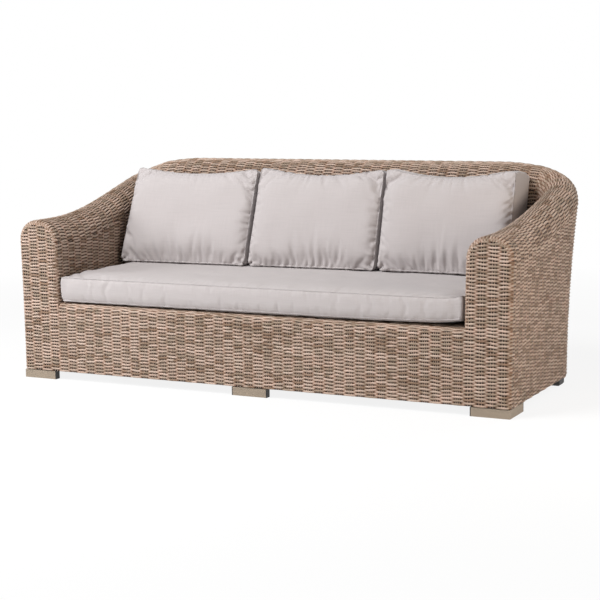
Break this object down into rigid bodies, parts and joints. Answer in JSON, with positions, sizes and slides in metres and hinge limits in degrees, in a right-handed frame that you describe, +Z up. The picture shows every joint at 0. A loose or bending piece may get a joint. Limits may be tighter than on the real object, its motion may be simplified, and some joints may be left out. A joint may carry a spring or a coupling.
{
  "type": "three-seat garden sofa",
  "caption": "Wraparound woven garden sofa with rolled arms sweeping up into a rounded back, one long box seat cushion, loose back cushions and low bar feet.",
  "frame": {"origin": "centre of the bounding box on the floor plane", "axes": "+X along the sofa's length to the right of someone facing it, +Y from the front to the back, +Z up"},
  "size_m": [2.1184, 0.9542, 0.86],
  "materials": {
    "wicker": "woven round resin strands in mixed light tans and browns",
    "frame_metal": "plain mill-finished tube, hidden",
    "foot_metal": "champagne powder coat, satin",
    "black_plastic": "moulded, matt",
    "linen": "light greige linen-look weave with slubs"
  },
  "bodies": {
    "sofa": {"right_arm_weave": "wicker", "left_arm_weave": "wicker", "right_corner_weave": "wicker", "left_corner_weave": "wicker", "back_weave": "wicker", "right_arm_front_weave": "wicker", "left_arm_front_weave": "wicker", "front_panel_weave": "wicker", "seat_deck_weave": "wicker", "base_front_rail": "frame_metal", "base_bent_rail": "frame_metal", "base_cross_bar_left": "frame_metal", "rear_post_left": "frame_metal", "base_cross_bar_middle": "frame_metal", "rear_post_middle": "frame_metal", "base_cross_bar_right": "frame_metal", "rear_post_right": "frame_metal", "right_arm_front_hoop": "frame_metal", "left_arm_front_hoop": "frame_metal", "right_arm_middle_hoop": "frame_metal", "left_arm_middle_hoop": "frame_metal", "right_corner_hoop": "frame_metal", "left_corner_hoop": "frame_metal", "right_back_hoop": "frame_metal", "left_back_hoop": "frame_metal", "back_middle_hoop": "frame_metal", "seat_front_rail": "frame_metal", "front_middle_post": "frame_metal", "seat_rear_rail": "frame_metal", "seat_side_rail_right": "frame_metal", "seat_side_rail_left": "frame_metal", "seat_cross_bar_1": "frame_metal", "seat_cross_bar_2": "frame_metal", "seat_cross_bar_3": "frame_metal", "seat_cross_bar_4": "frame_metal", "seat_cross_bar_5": "frame_metal", "crest_rail": "frame_metal", "front_right_foot": "foot_metal", "front_right_foot_inner_cap": "black_plastic", "front_right_foot_rear_cap": "black_plastic", "front_left_foot": "foot_metal", "front_left_foot_inner_cap": "black_plastic", "front_left_foot_rear_cap": "black_plastic", "front_middle_foot": "foot_metal", "front_middle_foot_right_cap": "black_plastic", "front_middle_foot_left_cap": "black_plastic", "rear_right_foot": "black_plastic", "rear_left_foot": "black_plastic", "rear_middle_foot": "black_plastic"},
    "seat_cushion": {"seat_cushion": "linen"},
    "back_cushion_left": {"back_cushion_left": "linen"},
    "back_cushion_middle": {"back_cushion_middle": "linen"},
    "back_cushion_right": {"back_cushion_right": "linen"}
  },
  "joints": [
    {"name": "seat_cushion_lift", "type": "slide", "parent": "sofa", "child": "seat_cushion", "axis": [0, 0, 1], "range_m": [0, 0.25]},
    {"name": "back_cushion_left_lift", "type": "slide", "parent": "seat_cushion", "child": "back_cushion_left", "axis": [0, 0, 1], "range_m": [0, 0.45]},
    {"name": "back_cushion_middle_lift", "type": "slide", "parent": "seat_cushion", "child": "back_cushion_middle", "axis": [0, 0, 1], "range_m": [0, 0.45]},
    {"name": "back_cushion_right_lift", "type": "slide", "parent": "seat_cushion", "child": "back_cushion_right", "axis": [0, 0, 1], "range_m": [0, 0.45]}
  ]
}
